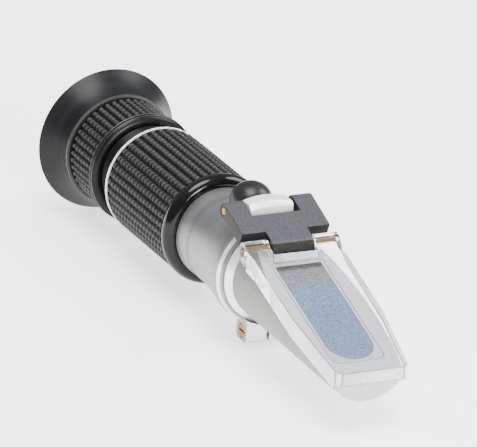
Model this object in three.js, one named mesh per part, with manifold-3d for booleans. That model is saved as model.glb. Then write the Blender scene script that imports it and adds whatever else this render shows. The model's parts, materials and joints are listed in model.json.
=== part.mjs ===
// A handheld refractometer: a straight optical tube with a focusing eyepiece at the rear, a prism head with a
// slanted measuring face at the front, and a clear daylight plate that folds over the face on a two-pin link.
// Stations are distances along the optical axis from the eyecup's rim; radii and heights are from that axis.
// All lengths are in millimetres. +X runs towards the prism, +Z is up.

import * as THREE from 'three';
import { mergeVertices } from 'three/addons/utils/BufferGeometryUtils.js';
import Module from 'manifold-3d';

const wasm = await Module();
wasm.setup();

// Driving sizes. Radii step out from the main tube, so each piece follows the one that it fits.
const roundSides = 48;
const innerSides = 32;
const smallSides = 20;
const arcSegments = 10;
const roundSteps = 5;

// Clearances
const seam = 0.15;
const fit = 0.15;
const slideFit = 0.2;
const seatGap = 0.3;
const overrun = 1;

// Main tube, rubber grip and rings
const tubeRadius = 12.8;
const tubeWall = 1.6;
const tubeTail = 3.8;
const neckLength = 7.1;
const ringCordRadius = 0.45;
const endRingThickness = 0.6;
const endRingWall = 2.3;
const gripLength = 33.95;
const gripWall = 2.33;
const frontRingLength = 3.7;
const frontRingWall = 2.58;
const frontRingWeb = 1.35;
const frontRingRound = 2.5;
const frontRingChamfer = 0.3;

// Lens carrier inside the eyepiece
const carrierWall = 1.6;
const carrierLength = 30.5;
const flangeRise = 1;
const flangeThickness = 1.25;
const snapRingThickness = 0.7;
const snapRingRise = 1.3;
const snapGrooveDepth = 0.5;
const snapRingOpening = 6;
const keyRadius = 0.7;
const keySetback = 2.5;
const keyLength = 2.6;
const lensEdge = 1.6;
const lensCrown = 1.3;
const lensSetback = 3.1;
const lensSpacing = 13.2;
const lensRetainerThickness = 1.2;
const lensRingWall = 1.4;
const stopThickness = 1.2;
const stopStep = 1;

// Focusing eyepiece: hard barrel, knurled sleeve and rounded front lip
const barrelWall = 0.9;
const barrelTailLength = 3.6;
const barrelTailWall = 1.05;
const counterboreDepth = 1.5;
const shoulderToLip = 7.2;
const focusGripLength = 13.7;
const focusGripWall = 0.85;
const focusLipLength = 2.25;
const focusLipRise = 0.6;
const focusLipEdgeWall = 0.55;
const focusLipRound = 1.7;
const focusLipChamfer = 0.5;

// Focusing travel each way
const focusTravel = 1.34;

// Eyecup, a soft flared cup
const eyecupRadius = 20;
const eyecupLength = 9;
const eyecupRimWall = 1.4;
const eyecupBaseWall = 1.75;
const eyecupLip = 0.5;
const eyecupLipRise = 0.125;
const eyecupBowlDepth = 5;
const eyecupBowlLedge = 1.25;

// Front body casting: tube section, bell, clamp ring, hinge lug and calibration boss
const bodyLength = 29.8;
const bodyStep = 0.22;
const bodyPlainLength = 10.8;
const bellLength = 14.8;
const bellRise = 1.92;
const bellCurve = 1.4;
const bellSteps = 7;
const ringFlatLength = 2.3;
const ringFlatDrop = 0.1;
const ringChamferLength = 1;
const ringChamferDrop = 0.5;
const ringEdgeDrop = 0.9;
const spigotLength = 10.7;
const spigotWall = 1.4;
const socketDepth = 10.2;
const socketStep = 1.7;
const bossSetback = 13.2;
const bossRadius = 4.6;
const bossRise = 3.62;

// Clamp lugs and their cross screw
const lugHalfWidth = 6.3;
const lugDrop = 3.8;
const lugLength = 6;
const lugOverhang = 1.6;
const lugCorner = 0.9;
const slitWidth = 0.8;
const slitLength = 8;
const clampScrewRadius = 1.2;
const clampHeadRadius = 1.9;
const clampHeadThickness = 1.8;
const clampScrewInset = 2.6;
const clampSlotWidth = 0.5;
const clampSlotDepth = 0.7;

// Prism head
const headLength = 56.8;
const headBevelDrop = 0.5;
const headBevelLength = 1.9;
const headBevelDepth = 1.5;
const headFlare = 0.6;
const headTipRound = 0.5;
const headSpigotLength = 10;
const headSpigotWall = 1.8;
const headTipHeight = 4.83;
const faceRearStep = 1.68;
const tunnelRadius = 5.5;
const baffleThickness = 2;
const baffleHoleRadius = 4.5;

// Prism and its seal, placed along the slanted face from the tip of the head
const prismHalfWidth = 6.4;
const prismTipSetback = 7;
const prismLength = 37.6;
const prismDepth = 11.4;
const prismHeelShare = 0.2;
const sealBorder = 0.9;
const sealDepth = 0.8;
const sealCorner = 2.4;

// Two-pin hinge link and its lug
const rearPinSetback = 4.1;
const hingeRise = 2.6;
const frontPinAdvance = 7.67;
const frontPinLift = 3.52;
const frontPinDrop = 0.8;
const bracketSideStep = 0.1;
const bracketTop = 2.2;
const bracketUnder = 1.6;
const shoulderSetback = 3.5;
const notchHalfWidth = 6.8;
const notchDepth = 5;
const tongueHalfWidth = 5.95;
const hingePinRadius = 1;
const hingeLugHalfWidth = 6.2;
const hingeLugReach = 2.9;
const hingeLugRise = 2.7;
const hingeLugRound = 1.5;
const pinRecess = 0.1;
const frontPinRecess = 0.5;

// Daylight plate
const plateThickness = 5;
const plateSideOverhang = 0.5;
const plateTaper = 2.8;
const plateTaperLength = 21.4;
const plateOverhang = 2.5;
const plateFrontHeight = 3.6;
const plateFrontBevel = 2;
const plateTipCorner = 1.2;
const earStep = 0.7;
const earInner = 6.6;
const earKnuckle = 2.6;
const earRound = 1.4;
const earTaper = 3.6;
const tongueRecess = 3.6;
const recessBevel = 1;

// Calibration screw and its rubber cap
const capWall = 0.85;
const capRise = 4.3;
const capOverlap = 2.2;
const capSkirt = 1.7;
const capCrownWall = 2.2;
const capInnerRound = 1.1;
const screwRadius = 1.6;
const screwHeadRadius = 2.6;
const screwHeadThickness = 1.3;
const screwSlotWidth = 0.6;
const screwSlotDepth = 0.7;

// Objective on its temperature compensating strip
const objectiveGap = 1.05;
const objectiveWall = 1.1;
const objectiveLength = 8.2;
const objectiveCentreSetback = 4.4;
const objectiveTravel = 0.15;
const stripLength = 15.5;
const stripWidth = 6;
const stripThickness = 0.5;
const stripLift = 2.25;
const stripBlockLength = 5;
const stripScrewRadius = 0.8;
const stripScrewHeadRadius = 1.5;
const stripScrewHeadThickness = 0.7;

// Reticle, the glass that carries the scale
const reticleGap = 1.46;
const reticleHolderLength = 4.6;
const reticleHolderWall = 1.1;
const reticleThickness = 1.2;
const reticleSeatWall = 1.2;
const reticleRetainerThickness = 1;

// Radii and half widths worked out from the main tube outwards and inwards
const tubeBore = tubeRadius - tubeWall;
const tubeSleeveBore = tubeRadius + fit;
const endRingRadius = tubeRadius + endRingWall;
const gripRadius = tubeRadius + gripWall;
const frontRingRadius = tubeRadius + frontRingWall;
const carrierRadius = tubeBore - slideFit;
const carrierBore = carrierRadius - carrierWall;
const lensRadius = carrierBore - fit;
const flangeRadius = carrierRadius + flangeRise;
const snapRingRadius = carrierRadius + snapRingRise;
const counterbore = flangeRadius + fit;
const barrelTailRadius = counterbore + barrelTailWall;
const barrelRadius = tubeSleeveBore + barrelWall;
const focusGripRadius = barrelRadius + fit + focusGripWall;
const focusLipRadius = focusGripRadius + focusLipRise;
const focusLipEdgeRadius = tubeSleeveBore + focusLipEdgeWall;
const eyecupBore = barrelTailRadius + fit;
const eyecupBaseRadius = eyecupBore + eyecupBaseWall;
const spigotRadius = tubeBore - fit;
const reticleSeatRadius = spigotRadius - reticleHolderWall;
const reticleRadius = reticleSeatRadius - fit;
const bodyRadius = tubeRadius - bodyStep;
const bodyBore = spigotRadius - spigotWall;
const bellRadius = bodyRadius + bellRise;
const ringEdgeRadius = bellRadius - ringEdgeDrop;
const headSpigotRadius = bodyBore + socketStep;
const socketBore = headSpigotRadius + fit;
const headBevelRadius = ringEdgeRadius - headBevelDrop;
const headRearRadius = headBevelRadius - headBevelDepth;
const headTipRadius = headRearRadius + headFlare;
const plateHalfWidth = headTipRadius + plateSideOverhang;
const plateTipHalfWidth = plateHalfWidth - plateTaper;
const earHalfWidth = plateHalfWidth + earStep;
const bracketHalfWidth = plateHalfWidth - bracketSideStep;
const capRadius = bossRadius + fit + capWall;
const objectiveRadius = bodyBore - objectiveGap;

// Stations along the axis
const focusGripStart = eyecupLength + 2 * seam;
const focusGripEnd = focusGripStart + focusGripLength;
const focusLipStart = focusGripEnd + seam;
const focusLipEnd = focusLipStart + focusLipLength;
const barrelStart = focusGripStart - seam - barrelTailLength;
const barrelShoulder = focusLipEnd - shoulderToLip;
const carrierStart = barrelStart + fit;
const carrierEnd = carrierStart + carrierLength;
const tubeStart = focusLipEnd - tubeTail;
const endRingStart = focusLipEnd + neckLength;
const gripStart = endRingStart + endRingThickness + seam;
const gripEnd = gripStart + gripLength;
const frontRingStart = gripEnd + seam;
const frontRingEnd = frontRingStart + frontRingLength;
const tubeEnd = frontRingEnd - frontRingWeb - 2 * seam;
const reticleStation = carrierEnd + focusTravel + reticleGap;
const bodyStart = frontRingEnd + seam;
const bodyEnd = bodyStart + bodyLength;
const bossStation = bodyEnd - bossSetback;
const objectiveStation = bossStation + objectiveCentreSetback - objectiveLength;
const lugEnd = bodyEnd + lugOverhang;
const clampScrewStation = lugEnd - lugLength / 2;
const headStart = bodyEnd + seam;
const headBevelEnd = headStart + headBevelLength;
const headEnd = headStart + headLength;
const totalLength = headEnd + plateOverhang;

// Heights from the axis
const bossHeight = bodyRadius + bossRise;
const capBase = bossHeight - capOverlap;
const capTop = bossHeight + capRise;
const lugDepth = bellRadius + lugDrop;
const clampScrewHeight = clampScrewInset - lugDepth;
const stripHeight = stripLift - bodyBore;

// The slanted face runs from just under the head's rear edge down to the height that is left at the tip
const faceRearHeight = headRearRadius - faceRearStep;
const faceTipHeight = headTipHeight - headTipRadius;
const faceTilt = Math.atan2(faceRearHeight - faceTipHeight, headEnd - headBevelEnd);

// Height of the slanted face at a station, and of a plane that lies above it by a distance along its normal
function faceHeight(station, above = 0) {
  return faceTipHeight + (headEnd - station) * Math.tan(faceTilt) + above / Math.cos(faceTilt);
}

// The hinge pins: the rear one over the clamp ring, the front one over the face. The link's own axis
// leaves the rear pin and passes above the front pin by its drop.
const rearPinStation = bodyEnd - rearPinSetback;
const rearPinHeight = bellRadius + hingeRise;
const frontPinStation = headBevelEnd + frontPinAdvance;
const frontPinHeight = faceHeight(frontPinStation, frontPinLift);
const pinDistance = Math.hypot(frontPinStation - rearPinStation, rearPinHeight - frontPinHeight);
const pinTilt = Math.atan2(rearPinHeight - frontPinHeight, frontPinStation - rearPinStation);
const bracketTilt = pinTilt - Math.asin(frontPinDrop / pinDistance);
const hingeSpan = pinDistance * Math.cos(pinTilt - bracketTilt);
const bracketShoulder = hingeSpan - shoulderSetback;
const tongueRadius = bracketTop + frontPinDrop;
const hingeLugRadius = rearPinHeight + hingeLugRise;

// Solids: closed three.js geometry, and joins and cuts between them

function solid(geometry) {
  const bare = geometry.clone();
  bare.deleteAttribute('normal');
  bare.deleteAttribute('uv');
  const merged = mergeVertices(bare);
  const corners = [];
  for (let i = 0; i < merged.index.count; i += 3) {
    const [a, b, c] = [0, 1, 2].map((k) => merged.index.getX(i + k));
    if (a !== b && b !== c && c !== a) corners.push(a, b, c);
  }
  const position = merged.attributes.position;
  if (signedVolume(position, corners) < 0) corners.reverse();
  const vertProperties = Float32Array.from(position.array);
  const triVerts = Uint32Array.from(corners);
  return new wasm.Manifold(new wasm.Mesh({ numProp: 3, vertProperties, triVerts }));
}

function signedVolume(position, corners) {
  const [a, b, c] = [new THREE.Vector3(), new THREE.Vector3(), new THREE.Vector3()];
  let volume = 0;
  for (let i = 0; i < corners.length; i += 3) {
    a.fromBufferAttribute(position, corners[i]);
    b.fromBufferAttribute(position, corners[i + 1]);
    c.fromBufferAttribute(position, corners[i + 2]);
    volume += a.dot(b.cross(c)) / 6;
  }
  return volume;
}

function geometryOf(manifold) {
  const mesh = manifold.getMesh();
  const geometry = new THREE.BufferGeometry();
  geometry.setAttribute('position', new THREE.BufferAttribute(mesh.vertProperties, mesh.numProp));
  geometry.setIndex(new THREE.BufferAttribute(mesh.triVerts, 1));
  return geometry;
}

function joined(first, ...others) {
  return others.reduce((whole, piece) => whole.add(piece), first);
}

function cut(first, ...tools) {
  return tools.reduce((whole, tool) => whole.subtract(tool), first);
}

// A profile of [along, radius] points. One that is off the axis at both ends closes on itself.
function latheOf(profile, sides) {
  const closed = profile[0][1] === 0 ? profile : [...profile, profile[0]];
  return new THREE.LatheGeometry(closed.map(([along, radius]) => new THREE.Vector2(radius, along)), sides);
}

function turned(profile, sides = roundSides) {
  return solid(latheOf(profile, sides).rotateZ(-Math.PI / 2));
}

function turnedUpright(profile, station, sides = smallSides) {
  return solid(latheOf(profile, sides).rotateX(Math.PI / 2).translate(station, 0, 0));
}

// Profile points of a round nose that ends at a station and runs back along it, from the outer radius inwards
function quarterRound(end, length, innerRadius, outerRadius) {
  const points = [];
  for (let step = 0; step <= roundSteps; step += 1) {
    const turn = (Math.PI / 2) * (step / roundSteps);
    points.push([
      end - length * (1 - Math.sin(turn)),
      innerRadius + (outerRadius - innerRadius) * Math.cos(turn),
    ]);
  }
  return points;
}

function tubeProfile(start, end, bore, radius) {
  return [[start, bore], [start, radius], [end, radius], [end, bore]];
}

function rodProfile(start, end, radius) {
  return [[start, 0], [start, radius], [end, radius], [end, 0]];
}

function uprightRod(station, bottom, top, radius, sides = smallSides) {
  return turnedUpright(rodProfile(bottom, top, radius), station, sides);
}

function crossPin(station, height, from, to, radius, sides = smallSides) {
  const pin = new THREE.CylinderGeometry(radius, radius, to - from, sides);
  return solid(pin.translate(station, (from + to) / 2, height));
}

function block(x0, x1, y0, y1, z0, z1) {
  const box = new THREE.BoxGeometry(x1 - x0, y1 - y0, z1 - z0);
  return solid(box.translate((x0 + x1) / 2, (y0 + y1) / 2, (z0 + z1) / 2));
}

function shapeOf(points) {
  return new THREE.Shape(points.map(([a, b]) => new THREE.Vector2(a, b)));
}

// An outline in the X-Z plane, stretched along Y
function sideSlabGeometry(shape, from, to) {
  const options = { depth: to - from, bevelEnabled: false, curveSegments: arcSegments };
  const slab = new THREE.ExtrudeGeometry(shape, options);
  return slab.rotateX(Math.PI / 2).translate(0, to, 0);
}

function sideSlab(points, from, to) {
  return solid(sideSlabGeometry(shapeOf(points), from, to));
}

// An outline in the X-Y plane, stretched along Z
function planSlabGeometry(shape, bottom, top) {
  const options = { depth: top - bottom, bevelEnabled: false, curveSegments: arcSegments };
  const slab = new THREE.ExtrudeGeometry(shape, options);
  return slab.translate(0, 0, bottom);
}

// Turns something drawn on a flat face (X forward, Z up from it) onto the slanted face, from the head's tip
function ontoFace(geometry) {
  return solid(geometry.rotateY(faceTilt).translate(headEnd, 0, faceTipHeight));
}

// Turns something drawn about the rear hinge pin onto the link's tilt
function ontoLink(geometry) {
  return solid(geometry.rotateY(bracketTilt).translate(rearPinStation, 0, rearPinHeight));
}

// Eyepiece

function makeEyecup() {
  return turned([
    [0, eyecupRadius - eyecupRimWall],
    [0, eyecupRadius],
    [eyecupLength - eyecupLip, eyecupBaseRadius + eyecupLipRise],
    [eyecupLength, eyecupBaseRadius],
    [eyecupLength, eyecupBore],
    [eyecupBowlDepth, eyecupBore],
    [eyecupBowlDepth, eyecupBore + eyecupBowlLedge],
  ]);
}

function makeFocusBarrel() {
  const bore = carrierRadius + fit;
  return turned([
    [barrelStart, counterbore],
    [barrelStart, barrelTailRadius],
    [focusGripStart - seam, barrelTailRadius],
    [focusGripStart - seam, barrelRadius],
    [focusLipStart, barrelRadius],
    [focusLipStart, focusLipRadius - focusLipChamfer],
    ...quarterRound(focusLipEnd, focusLipRound, focusLipEdgeRadius, focusLipRadius),
    [focusLipEnd, tubeSleeveBore],
    [barrelShoulder, tubeSleeveBore],
    [barrelShoulder, bore],
    [barrelStart + counterboreDepth, bore],
    [barrelStart + counterboreDepth, counterbore],
  ]);
}

function makeFocusGrip() {
  return turned(tubeProfile(focusGripStart, focusGripEnd, focusGripRadius - focusGripWall, focusGripRadius));
}

const snapRingStart = barrelShoulder + seam;
const snapRingEnd = snapRingStart + snapRingThickness;
const keyStation = carrierEnd - keySetback;
const eyeLensStart = carrierStart + lensSetback;
const fieldLensStart = eyeLensStart + lensEdge + 2 * lensCrown + lensSpacing;
const fieldLensEnd = fieldLensStart + lensEdge + lensCrown;
const stopStart = fieldLensEnd + seam;

function makeLensCarrier() {
  const grooveRadius = carrierRadius - snapGrooveDepth;
  const carrier = turned([
    [carrierStart, carrierBore],
    [carrierStart, flangeRadius],
    [carrierStart + flangeThickness, flangeRadius],
    [carrierStart + flangeThickness, carrierRadius],
    [snapRingStart - seam / 2, carrierRadius],
    [snapRingStart - seam / 2, grooveRadius],
    [snapRingEnd + seam / 2, grooveRadius],
    [snapRingEnd + seam / 2, carrierRadius],
    [carrierEnd, carrierRadius],
    [carrierEnd, carrierBore],
    [stopStart + stopThickness, carrierBore],
    [stopStart + stopThickness, carrierBore - stopStep],
    [stopStart, carrierBore - stopStep],
    [stopStart, carrierBore],
  ], innerSides);
  const keyHole = uprightRod(keyStation, -carrierRadius - overrun, -carrierBore + overrun, keyRadius + fit);
  return cut(carrier, keyHole);
}

function makeCarrierKey() {
  return uprightRod(keyStation, -carrierBore - keyLength - seatGap, -carrierBore - seatGap, keyRadius);
}

function makeSnapRing() {
  const bore = carrierRadius - snapGrooveDepth + fit;
  const ring = turned(tubeProfile(snapRingStart, snapRingEnd, bore, snapRingRadius), innerSides);
  const opening = block(
    snapRingStart - overrun, snapRingEnd + overrun,
    -snapRingOpening / 2, snapRingOpening / 2,
    0, snapRingRadius + overrun,
  );
  return cut(ring, opening);
}

// A disc with a flat rim and a crowned middle at each end
function crownedLens(start, radius, edge, rearCrown, frontCrown) {
  const crownRadius = radius - lensRingWall - fit;
  const steps = 3;
  const rear = [];
  const front = [];
  for (let step = 0; step <= steps; step += 1) {
    const share = step / steps;
    rear.push([start + rearCrown * share * share, crownRadius * share]);
    front.unshift([start + rearCrown + edge + frontCrown * (1 - share * share), crownRadius * share]);
  }
  const rim = start + rearCrown;
  return turned([...rear, [rim, radius], [rim + edge, radius], ...front], smallSides);
}

function makeEyeLens() {
  return crownedLens(eyeLensStart, lensRadius, lensEdge, lensCrown, lensCrown);
}

function makeFieldLens() {
  return crownedLens(fieldLensStart, lensRadius, lensEdge, lensCrown, 0);
}

function makeLensSpacer() {
  const start = eyeLensStart + lensCrown + lensEdge + seam;
  const end = fieldLensStart + lensCrown - seam;
  return turned(tubeProfile(start, end, lensRadius - lensRingWall, lensRadius), smallSides);
}

function makeLensRetainer() {
  const end = eyeLensStart + lensCrown - seam;
  const outline = tubeProfile(end - lensRetainerThickness, end, lensRadius - lensRingWall, lensRadius);
  return turned(outline, smallSides);
}

// Main tube and grip

// An O-ring of round cord, lying in a groove in a tube
function ringCord(station, grooveFloor) {
  const cordSides = 6;
  const centre = grooveFloor + fit / 3 + ringCordRadius;
  const profile = [];
  for (let side = 0; side < cordSides; side += 1) {
    const turn = (2 * Math.PI * side) / cordSides;
    profile.push([station + ringCordRadius * Math.cos(turn), centre + ringCordRadius * Math.sin(turn)]);
  }
  return turned(profile, innerSides);
}

const grooveWidth = 2 * ringCordRadius + 2 * fit;
const grooveDepth = 2 * ringCordRadius - fit / 3;
const focusRingStation = tubeStart + grooveWidth + fit;

function makeMainTube() {
  const grooveFloor = tubeRadius - grooveDepth;
  const tube = turned([
    [tubeStart, tubeBore],
    [tubeStart, tubeRadius],
    [focusRingStation - grooveWidth / 2, tubeRadius],
    [focusRingStation - grooveWidth / 2, grooveFloor],
    [focusRingStation + grooveWidth / 2, grooveFloor],
    [focusRingStation + grooveWidth / 2, tubeRadius],
    [tubeEnd, tubeRadius],
    [tubeEnd, tubeBore],
  ]);
  const reach = keyRadius + focusTravel + seatGap;
  const keyway = block(
    keyStation - reach, keyStation + reach,
    -keyRadius - fit, keyRadius + fit,
    -tubeRadius - overrun, 0,
  );
  return cut(tube, keyway);
}

function makeFocusORing() {
  return ringCord(focusRingStation, tubeRadius - grooveDepth);
}

function makeGripEndRing() {
  return turned(tubeProfile(endRingStart, endRingStart + endRingThickness, tubeSleeveBore, endRingRadius));
}

function makeRubberGrip() {
  return turned(tubeProfile(gripStart, gripEnd, tubeSleeveBore, gripRadius));
}

function makeGripFrontRing() {
  const noseBore = spigotRadius + 2 * fit;
  const noseRadius = bodyRadius + fit / 2;
  return turned([
    [frontRingStart, tubeSleeveBore],
    [frontRingStart, frontRingRadius - frontRingChamfer],
    ...quarterRound(frontRingEnd, frontRingRound, noseRadius, frontRingRadius),
    [frontRingEnd, noseBore],
    [frontRingEnd - frontRingWeb, noseBore],
    [frontRingEnd - frontRingWeb, tubeSleeveBore],
  ]);
}

function makeReticleHolder() {
  const ledge = reticleRadius - reticleSeatWall;
  const holderEnd = reticleStation + reticleHolderLength;
  const seatStart = holderEnd - reticleThickness - reticleRetainerThickness - 3 * seam;
  return turned([
    [reticleStation, ledge],
    [reticleStation, spigotRadius],
    [reticleStation + reticleHolderLength, spigotRadius],
    [reticleStation + reticleHolderLength, reticleSeatRadius],
    [seatStart, reticleSeatRadius],
    [seatStart, ledge],
  ], innerSides);
}

const reticleRetainerStart = reticleStation + reticleHolderLength - reticleRetainerThickness - seam;

function makeReticle() {
  const start = reticleRetainerStart - reticleThickness - seam;
  return turned(rodProfile(start, start + reticleThickness, reticleRadius), innerSides);
}

function makeReticleRetainer() {
  const start = reticleRetainerStart;
  return turned(
    tubeProfile(start, start + reticleRetainerThickness, reticleRadius - reticleSeatWall, reticleRadius),
    innerSides,
  );
}

// Front body

function bodyOutside() {
  const bellStart = bodyStart + bodyPlainLength;
  const bellEnd = bellStart + bellLength;
  const bell = [];
  for (let step = 0; step <= bellSteps; step += 1) {
    const share = step / bellSteps;
    bell.push([bellStart + bellLength * share, bodyRadius + (bellRadius - bodyRadius) * share ** bellCurve]);
  }
  return turned([
    [bodyStart - spigotLength, 0],
    [bodyStart - spigotLength, spigotRadius],
    [bodyStart, spigotRadius],
    [bodyStart, bodyRadius],
    ...bell,
    [bellEnd + ringFlatLength, bellRadius - ringFlatDrop],
    [bellEnd + ringFlatLength + ringChamferLength, bellRadius - ringFlatDrop - ringChamferDrop],
    [bodyEnd, ringEdgeRadius],
    [bodyEnd, 0],
  ]);
}

// The bore, the socket for the prism head, and the room for the head's bevel between the lugs
function bodyInside() {
  const bevelSpace = headBevelRadius + seatGap;
  return turned([
    [bodyStart - spigotLength - overrun, 0],
    [bodyStart - spigotLength - overrun, bodyBore],
    [bodyEnd - socketDepth, bodyBore],
    [bodyEnd - socketDepth, socketBore],
    [bodyEnd, socketBore],
    [bodyEnd, bevelSpace],
    [lugEnd + overrun, bevelSpace],
    [lugEnd + overrun, 0],
  ]);
}

function clampLugs() {
  return sideSlab([
    [lugEnd - lugLength, -bodyBore],
    [lugEnd - lugLength, -lugDepth + lugCorner],
    [lugEnd - lugLength + lugCorner, -lugDepth],
    [lugEnd - lugCorner / 2, -lugDepth],
    [lugEnd, -lugDepth + lugCorner / 2],
    [lugEnd, -bodyBore],
  ], -lugHalfWidth, lugHalfWidth);
}

// The lug's top is turned with the body, and its front and rear edges are rounded
function hingeLug() {
  const start = rearPinStation - hingeLugReach;
  const end = rearPinStation + hingeLugReach;
  const front = quarterRound(end, hingeLugRound, hingeLugRadius - hingeLugRound, hingeLugRadius);
  const rear = front.map(([station, radius]) => [start + end - station, radius]).reverse();
  const crown = turned([[start, 0], ...rear, ...front, [end, 0]]);
  return block(start, end, -hingeLugHalfWidth, hingeLugHalfWidth, bodyBore, hingeLugRadius).intersect(crown);
}

function makeFrontBody() {
  const casting = joined(
    bodyOutside(),
    clampLugs(),
    hingeLug(),
    uprightRod(bossStation, 0, bossHeight, bossRadius),
  );
  const slit = block(
    bodyEnd - slitLength, lugEnd + overrun,
    -slitWidth / 2, slitWidth / 2,
    -lugDepth - overrun, 0,
  );
  const screwHole = crossPin(
    clampScrewStation, clampScrewHeight,
    -lugHalfWidth - overrun, lugHalfWidth - overrun,
    clampScrewRadius + fit,
  );
  const headRecess = crossPin(
    clampScrewStation, clampScrewHeight,
    -lugHalfWidth - overrun, -lugHalfWidth + clampHeadThickness + 2 * fit,
    clampHeadRadius + fit,
  );
  const pinHole = crossPin(
    rearPinStation, rearPinHeight,
    -hingeLugHalfWidth - overrun, hingeLugHalfWidth + overrun,
    hingePinRadius + fit,
  );
  const calibrationHole = uprightRod(bossStation, 0, bossHeight + overrun, screwRadius + fit);
  return cut(casting, bodyInside(), slit, screwHole, headRecess, pinHole, calibrationHole);
}

function makeClampScrew() {
  const face = -lugHalfWidth + fit;
  const shank = crossPin(
    clampScrewStation, clampScrewHeight, face, lugHalfWidth - overrun - fit, clampScrewRadius,
  );
  const head = crossPin(
    clampScrewStation, clampScrewHeight, face, face + clampHeadThickness, clampHeadRadius,
  );
  const slot = block(
    clampScrewStation - clampHeadRadius, clampScrewStation + clampHeadRadius,
    face - overrun, face + clampSlotDepth,
    clampScrewHeight - clampSlotWidth / 2, clampScrewHeight + clampSlotWidth / 2,
  );
  return cut(joined(shank, head), slot);
}

// Prism head

// The prism's outline on the face: square at the rear and round at the tip, grown by a clearance
function tongueShape(grow) {
  const rear = -prismTipSetback - prismLength - grow;
  const half = prismHalfWidth + grow;
  const centre = -prismTipSetback - prismHalfWidth;
  const shape = new THREE.Shape();
  shape.moveTo(rear, half);
  shape.lineTo(rear, -half);
  shape.absarc(centre, 0, half, -Math.PI / 2, Math.PI / 2, false);
  return shape;
}

// The prism: a wedge below the face, cut to the tongue outline
function prismSolid(grow, above) {
  const rear = -prismTipSetback - prismLength - grow;
  const tip = -prismTipSetback + grow;
  const heel = rear + prismLength * prismHeelShare;
  const wedge = shapeOf([
    [rear, above],
    [rear, -sealDepth - grow],
    [heel, -prismDepth - grow],
    [tip, -sealDepth - grow],
    [tip, above],
  ]);
  const half = prismHalfWidth + grow;
  const tongue = planSlabGeometry(tongueShape(grow), -prismDepth - overrun, above + overrun);
  return ontoFace(sideSlabGeometry(wedge, -half, half)).intersect(ontoFace(tongue));
}

// A rectangle with round corners, lying on the face around the prism
function sealShape(grow) {
  const rear = -prismTipSetback - prismLength - sealBorder - grow;
  const tip = -prismTipSetback + sealBorder + grow;
  const half = prismHalfWidth + sealBorder + grow;
  const shape = new THREE.Shape();
  shape.moveTo(rear, half);
  shape.lineTo(rear, -half);
  shape.absarc(tip - sealCorner, -half + sealCorner, sealCorner, -Math.PI / 2, 0, false);
  shape.absarc(tip - sealCorner, half - sealCorner, sealCorner, 0, Math.PI / 2, false);
  return shape;
}

const headRingStation = headStart - headSpigotLength + 2 * grooveWidth;

function makePrismHousing() {
  const spigotStart = headStart - headSpigotLength;
  const spigotBore = headSpigotRadius - headSpigotWall;
  const grooveFloor = headSpigotRadius - grooveDepth;
  const barrel = turned([
    [spigotStart, spigotBore],
    [spigotStart, headSpigotRadius],
    [headRingStation - grooveWidth / 2, headSpigotRadius],
    [headRingStation - grooveWidth / 2, grooveFloor],
    [headRingStation + grooveWidth / 2, grooveFloor],
    [headRingStation + grooveWidth / 2, headSpigotRadius],
    [headStart, headSpigotRadius],
    [headStart, headBevelRadius],
    [headBevelEnd, headRearRadius],
    [headEnd - headTipRound, headTipRadius],
    [headEnd, headTipRadius - headTipRound],
    [headEnd, 0],
    [headBevelEnd, 0],
    [headBevelEnd, spigotBore],
  ]);
  const sliceLength = (headEnd - headBevelEnd) / Math.cos(faceTilt);
  const sliceHeight = headBevelRadius + headTipRadius;
  const slice = sideSlab([
    [headBevelEnd, faceHeight(headBevelEnd)],
    [headEnd + sliceLength * overrun, faceHeight(headEnd + sliceLength * overrun)],
    [headEnd + sliceLength * overrun, sliceHeight],
    [headBevelEnd, sliceHeight],
  ], -sliceHeight, sliceHeight);
  const rebate = ontoFace(planSlabGeometry(sealShape(fit), -sealDepth - fit, overrun));
  const heelSetback = prismTipSetback + prismLength * (1 - prismHeelShare);
  const tunnelEnd = headEnd - heelSetback * Math.cos(faceTilt);
  const tunnel = turned(rodProfile(headBevelEnd - overrun, tunnelEnd, tunnelRadius), smallSides);
  return cut(barrel, slice, prismSolid(seatGap, overrun), rebate, tunnel);
}

function makePrism() {
  return prismSolid(0, 0);
}

function makePrismSeal() {
  const frame = ontoFace(planSlabGeometry(sealShape(0), -sealDepth, 0));
  const opening = ontoFace(planSlabGeometry(tongueShape(fit), -sealDepth - overrun, overrun));
  return cut(frame, opening);
}

function makeLightBaffle() {
  const radius = headSpigotRadius - headSpigotWall - fit;
  const end = headBevelEnd - seam;
  return turned(tubeProfile(end - baffleThickness, end, baffleHoleRadius, radius), smallSides);
}

function makeHeadORing() {
  return ringCord(headRingStation, headSpigotRadius - grooveDepth);
}

// Objective and its temperature compensating strip

const objectiveBore = objectiveRadius - objectiveWall;
const objectiveSeat = objectiveStation + objectiveLength / 3;

function makeObjectiveCell() {
  return turned([
    [objectiveStation, objectiveBore - stopStep],
    [objectiveStation, objectiveRadius],
    [objectiveStation + objectiveLength, objectiveRadius],
    [objectiveStation + objectiveLength, objectiveBore],
    [objectiveSeat, objectiveBore],
    [objectiveSeat, objectiveBore - stopStep],
  ], smallSides);
}

function makeObjectiveLens() {
  return crownedLens(objectiveSeat + seam, objectiveBore - fit, lensEdge, 0, lensCrown);
}

function makeObjectiveRetainer() {
  const start = objectiveSeat + seam + lensEdge + seam;
  const radius = objectiveBore - fit;
  return turned(tubeProfile(start, start + lensRetainerThickness, radius - stopStep / 2, radius), smallSides);
}

const stripEnd = objectiveStation - seatGap;
const stripStart = stripEnd - stripLength;
const stripScrewStation = stripStart + stripBlockLength / 2;

function makeBimetalStrip() {
  const strip = block(
    stripStart, stripEnd, -stripWidth / 2, stripWidth / 2, stripHeight - stripThickness, stripHeight,
  );
  const bottom = stripHeight - overrun;
  const top = stripHeight + overrun;
  return cut(strip, uprightRod(stripScrewStation, bottom, top, stripScrewRadius + fit));
}

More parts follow.
